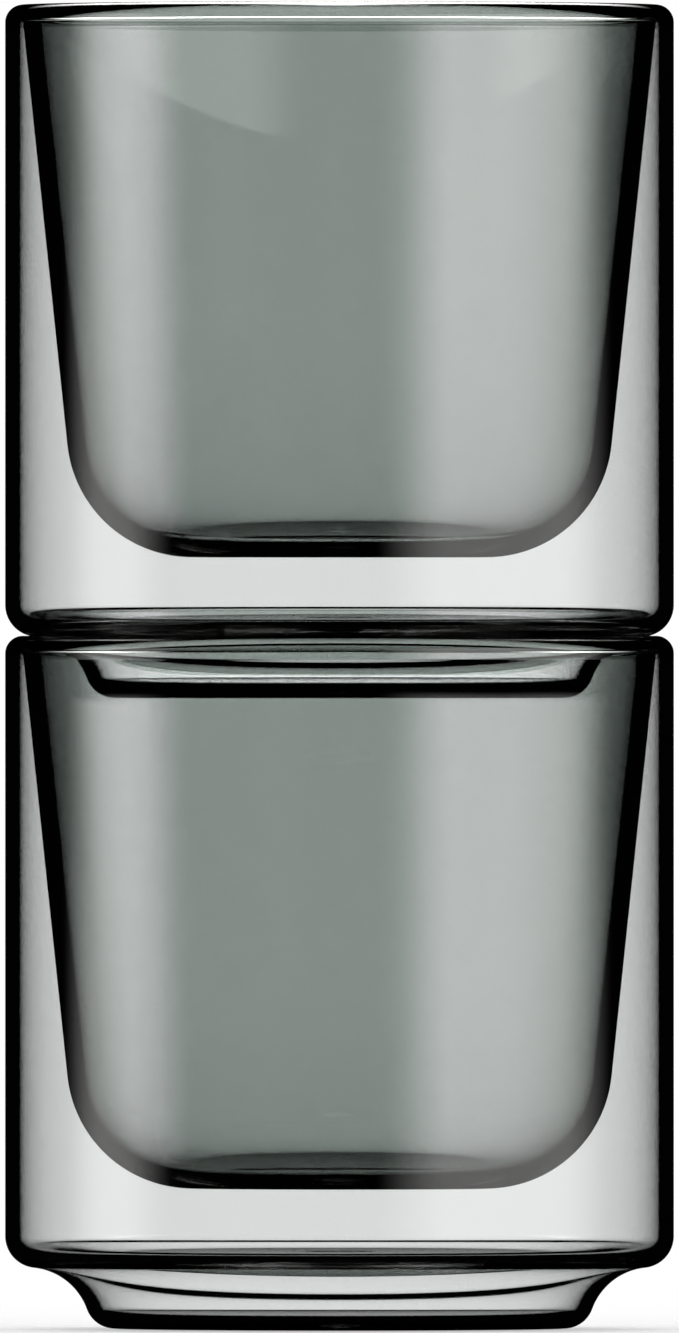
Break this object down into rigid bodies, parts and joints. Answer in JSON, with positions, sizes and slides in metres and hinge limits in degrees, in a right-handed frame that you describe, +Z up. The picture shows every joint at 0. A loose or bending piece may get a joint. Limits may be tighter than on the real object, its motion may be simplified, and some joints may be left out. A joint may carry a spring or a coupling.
{
  "type": "stacking double-wall espresso glass",
  "caption": "Stack of smoke-grey double-wall espresso glasses: tapered bowls fused into straight shells, each stepped foot nesting in the rim below, the top glass lifts off.",
  "frame": {"origin": "centre of the lower glass's foot, on the surface it stands on", "axes": "+Z up along the glasses' common axis, towards the upper rim"},
  "size_m": [0.064, 0.064, 0.1267],
  "materials": {
    "shell_glass": "polished, faint smoke tint",
    "bowl_glass": "polished, smoke grey",
    "clear_silicone": "satin, translucent"
  },
  "bodies": {
    "lower_glass": {"lower_outer_shell": "shell_glass", "lower_inner_bowl": "bowl_glass", "lower_rim_bead": "bowl_glass", "lower_vent_plug": "clear_silicone"},
    "upper_glass": {"upper_outer_shell": "shell_glass", "upper_inner_bowl": "bowl_glass", "upper_rim_bead": "bowl_glass", "upper_vent_plug": "clear_silicone"}
  },
  "joints": [
    {"name": "upper_glass_lift", "type": "slide", "parent": "lower_glass", "child": "upper_glass", "axis": [0, 0, 1], "range_m": [0, 0.03]}
  ]
}
